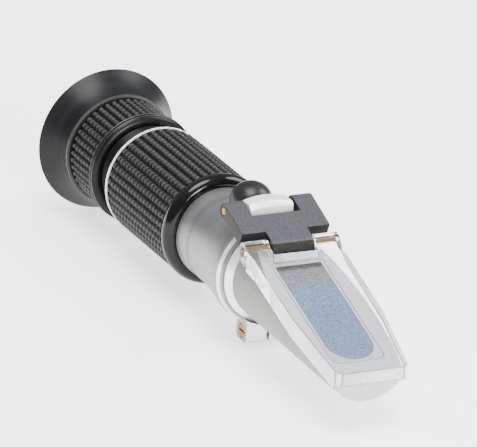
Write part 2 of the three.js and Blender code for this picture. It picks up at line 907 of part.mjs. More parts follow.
function makeStripBlock() {
  const top = stripHeight - stripThickness - seam;
  const body = block(
    stripStart, stripStart + stripBlockLength, -stripWidth / 2, stripWidth / 2, -bodyBore, top,
  );
  const boreSpace = turned(rodProfile(stripStart - overrun, stripEnd, bodyBore - fit));
  const hole = uprightRod(stripScrewStation, -bodyBore - overrun, top + overrun, stripScrewRadius + fit);
  return cut(body.intersect(boreSpace), hole);
}

function makeStripScrew() {
  const headBottom = stripHeight + seam;
  const shank = uprightRod(stripScrewStation, -bodyBore + 2 * seam, headBottom + seam, stripScrewRadius);
  const head = uprightRod(
    stripScrewStation, headBottom, headBottom + stripScrewHeadThickness, stripScrewHeadRadius,
  );
  return joined(shank, head);
}

// Calibration screw and cap

function makeCalibrationScrew() {
  const headBottom = bossHeight + seam;
  const tip = objectiveRadius + objectiveTravel + seatGap;
  const shank = uprightRod(bossStation, tip, headBottom + seam, screwRadius);
  const head = uprightRod(bossStation, headBottom, headBottom + screwHeadThickness, screwHeadRadius);
  const slot = block(
    bossStation - screwHeadRadius, bossStation + screwHeadRadius,
    -screwSlotWidth / 2, screwSlotWidth / 2,
    headBottom + screwHeadThickness - screwSlotDepth, headBottom + screwHeadThickness + overrun,
  );
  return cut(joined(shank, head), slot);
}

function makeCalibrationCap() {
  const bore = bossRadius + fit;
  const domeHeight = capTop - capBase - capSkirt;
  const dome = quarterRound(capTop, domeHeight, 0, capRadius);
  dome.pop();
  return turnedUpright([
    [capTop - capCrownWall, 0],
    [capTop - capCrownWall, bore - capInnerRound],
    [capTop - capCrownWall - capInnerRound, bore],
    [capBase, bore],
    [capBase, capRadius],
    ...dome,
    [capTop, 0],
  ], bossStation, innerSides);
}

// Hinge link

function makeHingeBracket() {
  const slabShape = new THREE.Shape();
  slabShape.moveTo(bracketShoulder, -bracketUnder);
  slabShape.lineTo(bracketShoulder, bracketTop);
  slabShape.absarc(0, 0, bracketTop, Math.PI / 2, (3 * Math.PI) / 2, false);
  slabShape.lineTo(bracketTop, -bracketUnder);
  const slab = ontoLink(sideSlabGeometry(slabShape, -bracketHalfWidth, bracketHalfWidth));
  const tongueShapeOutline = new THREE.Shape();
  tongueShapeOutline.moveTo(bracketShoulder - overrun, bracketTop);
  tongueShapeOutline.lineTo(bracketShoulder - overrun, -bracketUnder);
  tongueShapeOutline.absarc(hingeSpan, -frontPinDrop, tongueRadius, 1.25 * Math.PI, 0.5 * Math.PI, false);
  const tongue = ontoLink(sideSlabGeometry(tongueShapeOutline, -tongueHalfWidth, tongueHalfWidth));
  const notchBox = new THREE.BoxGeometry(2 * notchDepth, 2 * notchHalfWidth, 4 * bracketTop);
  const notch = ontoLink(notchBox);
  const rearHole = crossPin(
    rearPinStation, rearPinHeight,
    -bracketHalfWidth - overrun, bracketHalfWidth + overrun,
    hingePinRadius + fit,
  );
  const frontHole = crossPin(
    frontPinStation, frontPinHeight,
    -bracketHalfWidth - overrun, bracketHalfWidth + overrun,
    hingePinRadius + fit,
  );
  return cut(joined(slab, tongue), notch, rearHole, frontHole);
}

function makeRearHingePin() {
  const half = bracketHalfWidth - pinRecess;
  return crossPin(rearPinStation, rearPinHeight, -half, half, hingePinRadius);
}

function makeFrontHingePin() {
  const half = earHalfWidth - frontPinRecess;
  return crossPin(frontPinStation, frontPinHeight, -half, half, hingePinRadius);
}

// Daylight plate

// What the rounding of an ear's rear corner takes away. Inward is 1 or -1, towards the ear's middle.
function earCornerWaste(across, inward) {
  const rear = frontPinStation - earKnuckle;
  const centre = across + inward * earRound;
  const outside = across - inward * overrun;
  const tall = 2 * earHalfWidth;
  const square = block(
    rear - overrun, rear + earRound, Math.min(centre, outside), Math.max(centre, outside), -tall, tall,
  );
  const kept = uprightRod(rear + earRound, -tall, tall, earRound).translate([0, centre, 0]);
  return square.subtract(kept);
}

function makeDaylightPlate() {
  const under = (station) => faceHeight(station, seatGap);
  const top = (station) => faceHeight(station, seatGap + plateThickness);
  const plateTip = totalLength;
  const side = [
    [frontPinStation, under(frontPinStation)],
    [plateTip - plateFrontBevel, under(plateTip - plateFrontBevel)],
    [plateTip, top(plateTip) - plateFrontHeight],
    [plateTip, top(plateTip)],
    [frontPinStation, top(frontPinStation)],
  ];
  const taperStart = plateTip - plateTaperLength;
  const right = [
    [frontPinStation - earKnuckle, earHalfWidth],
    [frontPinStation + earKnuckle, earHalfWidth],
    [frontPinStation + earKnuckle + earTaper, plateHalfWidth],
    [taperStart, plateHalfWidth],
    [plateTip - plateTipCorner, plateTipHalfWidth + plateTipCorner / 4],
    [plateTip, plateTipHalfWidth - plateTipCorner],
  ];
  const left = right.map(([station, across]) => [station, -across]).reverse();
  const tall = 2 * earHalfWidth;
  const plan = solid(planSlabGeometry(shapeOf([...left, ...right]), -tall, tall));
  const slab = sideSlab(side, -earHalfWidth, earHalfWidth).intersect(plan);
  const knuckle = crossPin(frontPinStation, frontPinHeight, -earHalfWidth, earHalfWidth, earKnuckle);
  const recessEnd = frontPinStation + tongueRecess;
  const recess = block(frontPinStation - tongueRecess, recessEnd, -earInner, earInner, -tall, tall);
  const bevel = sideSlab([
    [recessEnd - overrun, top(recessEnd) - recessBevel],
    [recessEnd, top(recessEnd) - recessBevel],
    [recessEnd + recessBevel, top(recessEnd + recessBevel)],
    [recessEnd + recessBevel, tall],
    [recessEnd - overrun, tall],
  ], -earInner, earInner);
  const pinHole = crossPin(
    frontPinStation, frontPinHeight, -earHalfWidth - overrun, earHalfWidth + overrun, hingePinRadius + fit,
  );
  const corners = [1, -1].flatMap((side) => [
    earCornerWaste(side * earHalfWidth, -side),
    earCornerWaste(side * earInner, side),
  ]);
  return cut(joined(slab, knuckle), recess, bevel, pinHole, ...corners);
}

// Materials

const finishes = {
  softRubber: { color: 0x232426, roughness: 0.55, metalness: 0 },
  gripRubber: { color: 0x2e2e31, roughness: 0.6, metalness: 0 },
  blackPlastic: { color: 0x151517, roughness: 0.3, metalness: 0 },
  bracketPlastic: { color: 0x4a494d, roughness: 0.7, metalness: 0 },
  blackMetal: { color: 0x1b1b1d, roughness: 0.4, metalness: 0.6 },
  satinMetal: { color: 0xb4b5b8, roughness: 0.35, metalness: 0.9 },
  brightMetal: { color: 0xe6e6e8, roughness: 0.15, metalness: 1 },
  greyMetal: { color: 0xaeaca6, roughness: 0.5, metalness: 0.7 },
  brass: { color: 0xc79a52, roughness: 0.3, metalness: 1 },
  steel: { color: 0xc4c6c8, roughness: 0.3, metalness: 1 },
  clearPlastic: { color: 0xf2f5f6, roughness: 0.05, metalness: 0 },
  prismGlass: { color: 0x8ea6c4, roughness: 0.15, metalness: 0 },
  lensGlass: { color: 0xdfe8ea, roughness: 0.02, metalness: 0 },
  sealWhite: { color: 0xd8d8d4, roughness: 0.6, metalness: 0 },
};

function node(name, manifold, finish) {
  const mesh = new THREE.Mesh(geometryOf(manifold), new THREE.MeshStandardMaterial(finishes[finish]));
  mesh.name = name;
  return mesh;
}

const instrument = new THREE.Group();
instrument.position.set(-totalLength / 2, 0, eyecupRadius);
instrument.add(
  node('eyecup', makeEyecup(), 'softRubber'),
  node('focus_barrel', makeFocusBarrel(), 'blackPlastic'),
  node('focus_grip', makeFocusGrip(), 'gripRubber'),
  node('lens_carrier', makeLensCarrier(), 'blackMetal'),
  node('carrier_key', makeCarrierKey(), 'steel'),
  node('carrier_snap_ring', makeSnapRing(), 'steel'),
  node('eye_lens', makeEyeLens(), 'lensGlass'),
  node('field_lens', makeFieldLens(), 'lensGlass'),
  node('lens_spacer', makeLensSpacer(), 'blackMetal'),
  node('lens_retainer', makeLensRetainer(), 'blackMetal'),
  node('main_tube', makeMainTube(), 'blackMetal'),
  node('focus_o_ring', makeFocusORing(), 'softRubber'),
  node('grip_end_ring', makeGripEndRing(), 'brightMetal'),
  node('rubber_grip', makeRubberGrip(), 'gripRubber'),
  node('grip_front_ring', makeGripFrontRing(), 'blackPlastic'),
  node('reticle_holder', makeReticleHolder(), 'blackMetal'),
  node('reticle', makeReticle(), 'lensGlass'),
  node('reticle_retainer', makeReticleRetainer(), 'blackMetal'),
  node('front_body', makeFrontBody(), 'satinMetal'),
  node('clamp_screw', makeClampScrew(), 'brass'),
  node('prism_housing', makePrismHousing(), 'greyMetal'),
  node('prism', makePrism(), 'prismGlass'),
  node('prism_seal', makePrismSeal(), 'sealWhite'),
  node('light_baffle', makeLightBaffle(), 'blackMetal'),
  node('head_o_ring', makeHeadORing(), 'softRubber'),
  node('objective_cell', makeObjectiveCell(), 'blackMetal'),
  node('objective_lens', makeObjectiveLens(), 'lensGlass'),
  node('objective_retainer', makeObjectiveRetainer(), 'blackMetal'),
  node('bimetal_strip', makeBimetalStrip(), 'steel'),
  node('strip_block', makeStripBlock(), 'steel'),
  node('strip_screw', makeStripScrew(), 'steel'),
  node('calibration_screw', makeCalibrationScrew(), 'brass'),
  node('calibration_cap', makeCalibrationCap(), 'softRubber'),
  node('hinge_bracket', makeHingeBracket(), 'bracketPlastic'),
  node('rear_hinge_pin', makeRearHingePin(), 'brass'),
  node('front_hinge_pin', makeFrontHingePin(), 'brass'),
  node('daylight_plate', makeDaylightPlate(), 'clearPlastic'),
);

export default instrument;
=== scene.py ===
"""Looks of a handheld refractometer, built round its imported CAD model. Lengths are in metres."""
import json
import math

import bmesh
import bpy
from mathutils import Matrix, Vector


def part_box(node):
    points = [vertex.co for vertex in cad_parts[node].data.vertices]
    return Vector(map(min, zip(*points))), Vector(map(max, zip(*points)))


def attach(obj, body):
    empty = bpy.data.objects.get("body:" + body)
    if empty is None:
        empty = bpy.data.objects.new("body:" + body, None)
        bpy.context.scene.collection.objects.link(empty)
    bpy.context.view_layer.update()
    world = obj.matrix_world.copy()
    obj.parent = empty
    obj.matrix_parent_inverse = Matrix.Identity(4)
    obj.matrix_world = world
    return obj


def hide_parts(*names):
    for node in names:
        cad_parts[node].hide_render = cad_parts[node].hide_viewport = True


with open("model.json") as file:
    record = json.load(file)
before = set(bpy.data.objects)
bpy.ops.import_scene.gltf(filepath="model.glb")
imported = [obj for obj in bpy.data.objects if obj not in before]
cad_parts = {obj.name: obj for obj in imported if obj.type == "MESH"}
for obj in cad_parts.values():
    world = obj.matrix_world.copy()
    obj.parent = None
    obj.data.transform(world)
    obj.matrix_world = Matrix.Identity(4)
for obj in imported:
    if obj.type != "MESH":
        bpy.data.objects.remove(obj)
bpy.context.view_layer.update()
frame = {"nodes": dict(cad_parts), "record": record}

MM = 0.001
FULL_TURN = 2 * math.pi
AXIS_HEIGHT = sum(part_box("main_tube")[end].z for end in (0, 1)) / 2

# Camera, at the photograph's viewing angle
CAMERA_AZIMUTH = math.radians(62.49)
CAMERA_ELEVATION = math.radians(21.57)
CAMERA_ROLL = math.radians(4.15)
CAMERA_PLACE = Vector((1.292975, -0.6726, 0.6021))
CAMERA_LENS_MM = 454.84
CAMERA_SENSOR_MM = 36
CAMERA_REACH = 20

# Surround and floor
WORLD_SIDE = (0.29, 0.29, 0.295)
WORLD_TOP = (0.96, 0.98, 1)
WORLD_TOP_AT = 0.9
WORLD_STRENGTH = 0.85
FLOOR_HALF = 4
FLOOR_GAP = 0.1 * MM
FLOOR_GLOW = 1.7
WHITE = (1, 1, 1)

# Knurl of the grip and of the focusing sleeve
GRIP_ROWS = 40
GRIP_PHASE = math.radians(2.3)
SLEEVE_ROWS = 44
SLEEVE_PHASE = 0
TOOTH_PITCH = 1.85 * MM
TOOTH_DEPTH = 0.7 * MM
TOOTH_MIDDLE = 0.5
TOOTH_TOP_SHARE = 0.3
GROOVE_SHARE = 0.1
PIT_SHARE = 0.95
PLAIN_END = 0.2 * MM
PLAIN_END_HEIGHT = 0.5
KNURL_SHARP_ANGLE = math.radians(50)

# Tube and barrel walls, and the gap between pieces that sleeve over each other
TUBE_WALL = 1.6 * MM
BARREL_WALL = 0.9 * MM
SEAM = 0.15 * MM

# Fine rings of the neck: where a ring bends, as shares of its pitch and of its height
NECK_RING_PITCH = 0.6 * MM
NECK_RING_DEPTH = 0.1 * MM
NECK_RING_BENDS = ((0.1, 0), (0.35, 1), (0.75, 1), (0.95, 0))

# Eyecup: its rounded rim, its walls and the bead at its base
EYECUP_STEPS = 12
EYECUP_RIM_ROUND = 0.6 * MM
EYECUP_RIM_IN = 0.2 * MM
EYECUP_RIM_DOWN = 0.15 * MM
EYECUP_HOLLOW = 0.45 * MM
EYECUP_WALL = 1.4 * MM
EYECUP_BEAD = 0.45 * MM
EYECUP_BEAD_LENGTH = 0.9 * MM
EYECUP_BEAD_SLOPE = 0.15 * MM
EYECUP_BEAD_FALL = 0.225 * MM
EYECUP_BASE_WALL = 1.6 * MM
EYECUP_FLOOR_SHARE = 0.56
EYECUP_LEDGE = 1.2 * MM
EYECUP_BORE_STEP = 1.95 * MM

# Edge rounding of the machined and moulded pieces, and what counts as sharp, flat or one point
METAL_EDGE = 0.12 * MM
HOUSING_EDGE = 0.05 * MM
RING_EDGE = 0.1 * MM
FRONT_RING_EDGE = 0.25 * MM
PLASTIC_EDGE = 0.3 * MM
BRACKET_EDGE = 0.25 * MM
PLATE_EDGE = 0.3 * MM
SMALL_EDGE = 0.08 * MM
EDGE_STEPS = 2
ROUND_PROFILE = 0.5
SHARP_ANGLE = math.radians(32)
FLAT_ANGLE = math.radians(0.4)
WELD = 0.002 * MM
LARGE_FACE_WEIGHT = 100
LATHE_SIDES = 160

# Noise: the part of its range that colour and gloss follow, and its stretch into marks of turning
NOISE_DETAIL = 4
COLOUR_FROM = 0.35
COLOUR_TO = 0.65
GLOSS_FROM = 0.3
GLOSS_TO = 0.7
CLOUD_TO_GRAIN = 9
UNSTRETCHED = (1, 1, 1)
TURNED = (1, 0.04, 0.04)

# Sockets of the node that mixes two colours
MIX_FACTOR = 0
MIX_FIRST = 6
MIX_SECOND = 7
MIX_RESULT = 2

# Knurled rubber: near black below a share of its teeth's height, as painted shade in its grooves, and worn
# paler from there upwards
GROOVE_PAINTED_SHADE = (0.0006, 0.0006, 0.0006)
CREST_GREY = (0.043, 0.042, 0.043)
WEAR_AND_SHADE_FROM = 0.35
KNURL_MOTTLE_GREY = (0.75, 0.75, 0.75)
KNURL_MOTTLE = 2 * MM
KNURL_SHEEN = 0.5 * MM
KNURL_GRAIN = 0.12 * MM
KNURL_GRAIN_DEPTH = 0.01 * MM
KNURL_ROUGH = (0.42, 0.58)
KNURL_SPECULAR = 0.2

# Clear glass and plastic: refraction, haze and ripple
GLASS_INDEX = 1.52
PLATE_INDEX = 1.47
CLEAR_ROUGH = (0, 0.02)
GLASS_HAZE = 2 * MM
PLATE_HAZE = 3 * MM
RIPPLE_TO_HAZE = 3
RIPPLE_DEPTH = 0.004 * MM

# Prism: colours painted on it from its rear end at 0 to its front end at 1, standing for the view through
# the glass into the dark tunnel below, its dark rear edge being painted shade; its sparkle, clouds and gloss
PRISM_SHADED_EDGE = (0.04, 0.035, 0.035, 1)
PRISM_PINK = (0.3, 0.275, 0.295, 1)
PRISM_BLUE = (0.215, 0.305, 0.475, 1)
PRISM_STOPS = ((0.04, PRISM_SHADED_EDGE), (0.07, PRISM_PINK), (0.22, PRISM_PINK), (0.26, PRISM_BLUE))
PRISM_SPARKLE = 0.47 * MM
SPARKLE_DETAIL = 2
SPARKLE_DARK = (0.42, 0.45, 0.52)
SPARKLE_FROM = 0.38
SPARKLE_TO = 0.6
PRISM_CLOUD = 2.4 * MM
CLOUD_WARM = (1, 0.93, 0.95)
CLOUD_COOL = (0.86, 0.97, 1)
PRISM_HAZE = 4 * MM
PRISM_ROUGH = (0.18, 0.26)
PRISM_COAT = 0.3
PRISM_COAT_ROUGH = 0.05

# Faces that get a finish of their own, told by a part of their outward normal: some of these finishes are
# painted shade, painted glow or painted reflection
POLISHED_SLOPE = 0.38
FACE_SLOPE = 0.94
END_SLOPE = 0.5
GAP_SLOPE = 0.9
CUT_SLOPE = 0.7
TOP_SLOPE = 0.68
WALL_SLOPE = 0.6

# Where those faces lie
WAIST_SHARE = 0.94
HEAD_BEVEL_SHARE = 0.78
BOSS_REACH = 5 * MM
LUG_RISE = 0.2 * MM
BEVEL_REACH = 0.6 * MM
BEVEL_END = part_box("front_body")[1].x + BEVEL_REACH
GAP_REACH = 2 * BEVEL_REACH
EAR_REACH = 2.2 * MM
EARS_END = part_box("front_hinge_pin")[1].x + EAR_REACH
EDGE_FACE_WIDTH = 2 * PLATE_EDGE
EDGE_FACE_LENGTH = 60 * MM

# Fine lines, whose two slopes and top share their width in equal parts
LINE_PARTS = 3

# Plain rings round the body
BODY_LINES = 2
BODY_LINE_STEP = 0.27 * MM
BODY_LINE_SETBACK = 6.45 * MM
BODY_LINE_PITCH = 0.8 * MM
BODY_LINE_WIDTH = 0.28 * MM
BODY_LINE_RISE = 0.08 * MM

# Fine steps on the focusing sleeve's front lip
LIP_LINE = 0.3 * MM
LIP_STEP = 0.08 * MM
LIP_SETBACK = 1.1 * MM
LIP_FALL = 0.12 * MM


# Node materials

def new_material(name):
    """An empty material with one shader."""
    made = bpy.data.materials.new(name)
    made.use_nodes = True
    made.node_tree.nodes.clear()
    tree = made.node_tree
    shader = tree.nodes.new("ShaderNodeBsdfPrincipled")
    output = tree.nodes.new("ShaderNodeOutputMaterial")
    tree.links.new(shader.outputs["BSDF"], output.inputs["Surface"])
    return made, tree, shader


def noise(tree, size, detail=NOISE_DETAIL, stretch=UNSTRETCHED):
    """Noise of a given grain size, placed by the object's own coordinates."""
    place = tree.nodes.new("ShaderNodeTexCoord")
    mapping = tree.nodes.new("ShaderNodeMapping")
    mapping.inputs["Scale"].default_value = stretch
    texture = tree.nodes.new("ShaderNodeTexNoise")
    texture.inputs["Scale"].default_value = 1 / size
    texture.inputs["Detail"].default_value = detail
    tree.links.new(place.outputs["Object"], mapping.inputs["Vector"])
    tree.links.new(mapping.outputs["Vector"], texture.inputs["Vector"])
    return texture.outputs["Fac"]


def ramp(tree, value, low, high, low_at=COLOUR_FROM, high_at=COLOUR_TO):
    """Blends from one colour to another as a value rises."""
    made = tree.nodes.new("ShaderNodeValToRGB")
    first, last = made.color_ramp.elements
    first.position, first.color = low_at, (*low, 1)
    last.position, last.color = high_at, (*high, 1)
    tree.links.new(value, made.inputs["Fac"])
    return made.outputs["Color"]


def spread(tree, value, low, high):
    """Turns noise into a number between two limits."""
    made = tree.nodes.new("ShaderNodeMapRange")
    made.inputs["From Min"].default_value = GLOSS_FROM
    made.inputs["From Max"].default_value = GLOSS_TO
    made.inputs["To Min"].default_value = low
    made.inputs["To Max"].default_value = high
    tree.links.new(value, made.inputs["Value"])
    return made.outputs["Result"]


def multiplied(tree, colour, shade_of_it):
    """Darkens one varying colour by another, at full strength."""
    made = tree.nodes.new("ShaderNodeMix")
    made.data_type = "RGBA"
    made.blend_type = "MULTIPLY"
    made.inputs[MIX_FACTOR].default_value = 1
    tree.links.new(colour, made.inputs[MIX_FIRST])
    tree.links.new(shade_of_it, made.inputs[MIX_SECOND])
    return made.outputs[MIX_RESULT]


def bump(tree, shader, height, depth):
    """Raises the surface a little where a value is high."""
    made = tree.nodes.new("ShaderNodeBump")
    made.inputs["Strength"].default_value = 1
    made.inputs["Distance"].default_value = depth
    tree.links.new(height, made.inputs["Height"])
    tree.links.new(made.outputs["Normal"], shader.inputs["Normal"])


def surface(
        name, dark, light, rough, grain, depth,
        metallic=0.0, stretch=UNSTRETCHED, cloud=CLOUD_TO_GRAIN, **sockets):
    """A material with mottled colour, uneven gloss and a fine raised grain."""
    made, tree, shader = new_material(name)
    mottle = noise(tree, cloud * grain, stretch=stretch)
    fine = noise(tree, grain, stretch=stretch)
    tree.links.new(ramp(tree, mottle, dark, light), shader.inputs["Base Color"])
    tree.links.new(spread(tree, mottle, *rough), shader.inputs["Roughness"])
    bump(tree, shader, fine, depth)
    shader.inputs["Metallic"].default_value = metallic
    for socket, value in sockets.items():
        shader.inputs[socket.replace("_", " ")].default_value = value
    return made


def knurled_rubber(name):
    """Dark rubber whose tooth tops are worn paler than the grooves, which painted shade darkens almost to
    black.
    """
    made, tree, shader = new_material(name)
    crest = tree.nodes.new("ShaderNodeAttribute")
    crest.attribute_name = "crest"
    wear_and_groove_shade = ramp(tree, crest.outputs["Fac"], GROOVE_PAINTED_SHADE, CREST_GREY, WEAR_AND_SHADE_FROM, 1)
    mottle = ramp(tree, noise(tree, KNURL_MOTTLE), KNURL_MOTTLE_GREY, WHITE)
    tree.links.new(multiplied(tree, wear_and_groove_shade, mottle), shader.inputs["Base Color"])
    tree.links.new(spread(tree, noise(tree, KNURL_SHEEN), *KNURL_ROUGH), shader.inputs["Roughness"])
    shader.inputs["Specular IOR Level"].default_value = KNURL_SPECULAR
    bump(tree, shader, noise(tree, KNURL_GRAIN), KNURL_GRAIN_DEPTH)
    return made


def clear_glass(name, tint, index, haze):
    """Clear glass or plastic with a faint, uneven haze and a slow ripple."""
    made, tree, shader = new_material(name)
    shader.inputs["Base Color"].default_value = (*tint, 1)
    shader.inputs["Transmission Weight"].default_value = 1
    shader.inputs["IOR"].default_value = index
    tree.links.new(spread(tree, noise(tree, haze), *CLEAR_ROUGH), shader.inputs["Roughness"])
    bump(tree, shader, noise(tree, RIPPLE_TO_HAZE * haze), RIPPLE_DEPTH)
    return made


def clear_sheet(name, tint, clearness=1.0, glow=0.0):
    """Clear acrylic as one of its surfaces shows it: less clear, or with a painted glow standing for the
    light that runs inside the sheet.
    """
    made = clear_glass(name, tint, PLATE_INDEX, PLATE_HAZE)
    shader = next(node for node in made.node_tree.nodes if node.type == "BSDF_PRINCIPLED")
    shader.inputs["Transmission Weight"].default_value = clearness
    shader.inputs["Emission Color"].default_value = (*tint, 1)
    shader.inputs["Emission Strength"].default_value = glow
    return made


def prism_glass(name):
    """Blue glass, drawn opaque, with the view into the dark tunnel below it painted on along its length: a
    dark rear edge of painted shade, then pinkish grey, then blue, with a fine sparkle.
    """
    made, tree, shader = new_material(name)
    place = tree.nodes.new("ShaderNodeTexCoord")
    split = tree.nodes.new("ShaderNodeSeparateXYZ")
    along = tree.nodes.new("ShaderNodeMapRange")
    low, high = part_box("prism")
    along.inputs["From Min"].default_value = low.x
    along.inputs["From Max"].default_value = high.x
    tree.links.new(place.outputs["Object"], split.inputs["Vector"])
    tree.links.new(split.outputs["X"], along.inputs["Value"])
    tint = tree.nodes.new("ShaderNodeValToRGB")
    rear, front = tint.color_ramp.elements
    rear.position, rear.color = 0, PRISM_SHADED_EDGE
    front.position, front.color = 1, PRISM_BLUE
    for at, colour in PRISM_STOPS:
        tint.color_ramp.elements.new(at).color = colour
    tree.links.new(along.outputs["Result"], tint.inputs["Fac"])
    glints = noise(tree, PRISM_SPARKLE, SPARKLE_DETAIL)
    sparkle = ramp(tree, glints, SPARKLE_DARK, WHITE, SPARKLE_FROM, SPARKLE_TO)
    cloud = ramp(tree, noise(tree, PRISM_CLOUD), CLOUD_WARM, CLOUD_COOL)
    sparkling = multiplied(tree, tint.outputs["Color"], sparkle)
    tree.links.new(multiplied(tree, sparkling, cloud), shader.inputs["Base Color"])
    tree.links.new(spread(tree, noise(tree, PRISM_HAZE), *PRISM_ROUGH), shader.inputs["Roughness"])
    shader.inputs["Coat Weight"].default_value = PRISM_COAT
    shader.inputs["Coat Roughness"].default_value = PRISM_COAT_ROUGH
    return made


# Rubber, plastic and paint, most of it dark
COATED_SURFACES = {
    "eyecup_rubber": dict(
        dark=(0.005, 0.005, 0.006), light=(0.008, 0.008, 0.009), rough=(0.3, 0.38),
        grain=0.16 * MM, depth=0.006 * MM, stretch=TURNED, Specular_IOR_Level=0.15),
    # painted highlight: paler rubber for the thin lines that catch the light at the eyecup's bead and on the
    # sleeve's lip
    "rubber_painted_highlight": dict(
        dark=(0.012, 0.012, 0.013), light=(0.02, 0.02, 0.021), rough=(0.3, 0.4),
        grain=0.16 * MM, depth=0.004 * MM, stretch=TURNED),
    "seal_rubber": dict(
        dark=(0.005, 0.005, 0.005), light=(0.01, 0.01, 0.01), rough=(0.5, 0.65),
        grain=0.2 * MM, depth=0.01 * MM),
    "cap_rubber": dict(
        dark=(0.007, 0.007, 0.0075), light=(0.01, 0.01, 0.011), rough=(0.34, 0.4),
        grain=0.2 * MM, depth=0.01 * MM, Specular_IOR_Level=0.3),
    "black_gloss": dict(
        dark=(0.002, 0.002, 0.002), light=(0.004, 0.004, 0.004), rough=(0.1, 0.16),
        grain=0.5 * MM, depth=0.002 * MM, Specular_IOR_Level=0.24),
    "black_satin": dict(
        dark=(0.003, 0.003, 0.003), light=(0.005, 0.005, 0.005), rough=(0.3, 0.36),
        grain=0.2 * MM, depth=0.004 * MM, Specular_IOR_Level=0.15),
    "black_metal": dict(
        dark=(0.004, 0.004, 0.0045), light=(0.007, 0.007, 0.0075), rough=(0.3, 0.4),
        grain=0.12 * MM, depth=0.006 * MM, stretch=TURNED, Specular_IOR_Level=0.15),
    "printed_line": dict(
        dark=(0.006, 0.006, 0.007), light=(0.012, 0.012, 0.013), rough=(0.4, 0.5),
        grain=0.2 * MM, depth=0.002 * MM),
    "bracket_plastic": dict(
        dark=(0.031, 0.031, 0.035), light=(0.063, 0.063, 0.071), rough=(0.5, 0.6),
        grain=0.19 * MM, depth=0.035 * MM, cloud=2, Specular_IOR_Level=0.2),
    # painted shade: a darker finish on the link's sides and the lower part of its rounded front
    "bracket_side_painted_shade": dict(
        dark=(0.011, 0.0105, 0.0095), light=(0.02, 0.019, 0.017), rough=(0.36, 0.46),
        grain=0.14 * MM, depth=0.02 * MM, cloud=3, Specular_IOR_Level=0.1),
    "seal_white": dict(
        dark=(0.56, 0.56, 0.57), light=(0.66, 0.66, 0.67), rough=(0.45, 0.6),
        grain=0.3 * MM, depth=0.01 * MM),
}

# Bare and plated metal. The polished, bright, face and end finishes are only part metallic: their pale base
# colour, lit like paint, is painted reflection of the bright surround that the real chrome and bare metal
# mirror
METAL_SURFACES = {
    "polished_metal": dict(
        dark=(0.9, 0.9, 0.91), light=(0.96, 0.96, 0.96), rough=(0.24, 0.32),
        grain=0.15 * MM, depth=0.001 * MM, metallic=0.5, stretch=TURNED),
    "bright_metal": dict(
        dark=(0.92, 0.92, 0.93), light=(0.97, 0.97, 0.97), rough=(0.3, 0.38),
        grain=0.15 * MM, depth=0.001 * MM, metallic=0.3, stretch=TURNED),
    "body_metal": dict(
        dark=(0.255, 0.255, 0.262), light=(0.3, 0.3, 0.307), rough=(0.4, 0.48),
        grain=0.1 * MM, depth=0.002 * MM, metallic=0.9, stretch=TURNED),
    "head_metal": dict(
        dark=(0.215, 0.21, 0.202), light=(0.262, 0.256, 0.246), rough=(0.48, 0.6),
        grain=0.14 * MM, depth=0.01 * MM, metallic=0.5),
    "face_metal": dict(
        dark=(0.68, 0.68, 0.73), light=(0.76, 0.76, 0.81), rough=(0.5, 0.6),
        grain=0.14 * MM, depth=0.01 * MM, metallic=0.2),
    "end_metal": dict(
        dark=(0.42, 0.42, 0.42), light=(0.5, 0.5, 0.5), rough=(0.5, 0.6),
        grain=0.14 * MM, depth=0.01 * MM, metallic=0.3),
    "cut_metal": dict(
        dark=(0.2, 0.2, 0.205), light=(0.3, 0.3, 0.305), rough=(0.2, 0.32),
        grain=0.1 * MM, depth=0.002 * MM, metallic=0.9),
    "steel": dict(
        dark=(0.4, 0.4, 0.41), light=(0.5, 0.5, 0.51), rough=(0.25, 0.4),
        grain=0.1 * MM, depth=0.002 * MM, metallic=1.0),
    "brass": dict(
        dark=(0.25, 0.125, 0.03), light=(0.35, 0.195, 0.055), rough=(0.3, 0.45),
        grain=0.12 * MM, depth=0.003 * MM, metallic=1.0),
}

# Every finish by name, the material slots of the record among them
finishes = {name: surface(name, **look) for name, look in {**COATED_SURFACES, **METAL_SURFACES}.items()}
finishes["grip_rubber"] = knurled_rubber("grip_rubber")
finishes["lens_glass"] = clear_glass("lens_glass", (0.93, 0.97, 0.98), GLASS_INDEX, GLASS_HAZE)
finishes["prism_glass"] = prism_glass("prism_glass")
finishes["clear_plastic"] = clear_sheet("clear_plastic", (0.985, 0.99, 1))
# The plate's walls: less clear and whiter, with a painted glow standing for the light that runs inside the
# sheet
finishes["clear_wall_painted_glow"] = clear_sheet("clear_wall_painted_glow", (0.97, 0.975, 0.98), clearness=0.7, glow=0.75)
# The plate's rounded edges: less clear and grey, painted lines standing for the dark lines that refraction
# draws along them
finishes["clear_edge_painted_lines"] = clear_sheet("clear_edge_painted_lines", (0.36, 0.365, 0.37), clearness=0.3)

slot_of = {row["node"]: row["material_slot"] for row in frame["record"]["subparts"]}
body_of = {node: body for body, nodes in frame["record"]["behaviour"]["bodies"].items() for node in nodes}


# Meshes

def piece_of(name, mesh, node):
    """Places a mesh as the detailed piece that stands for a CAD node."""
    slot = slot_of[node]
    mesh.materials.clear()
    mesh.materials.append(finishes[slot])
    piece = bpy.data.objects.new(name, mesh)
    bpy.context.scene.collection.objects.link(piece)
    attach(piece, body_of[node])
    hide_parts(node)
    return piece


def shade(mesh, angle=SHARP_ANGLE):
    """Shades a mesh smoothly, apart from edges that are sharper than an angle."""
    mesh.shade_smooth()
    mesh.set_sharp_from_angle(angle=angle)


def mesh_from(made, name, angle=SHARP_ANGLE):
    """Turns finished faces into a shaded mesh."""
    mesh = bpy.data.meshes.new(name)
    made.to_mesh(mesh)
    made.free()
    shade(mesh, angle)
    return mesh


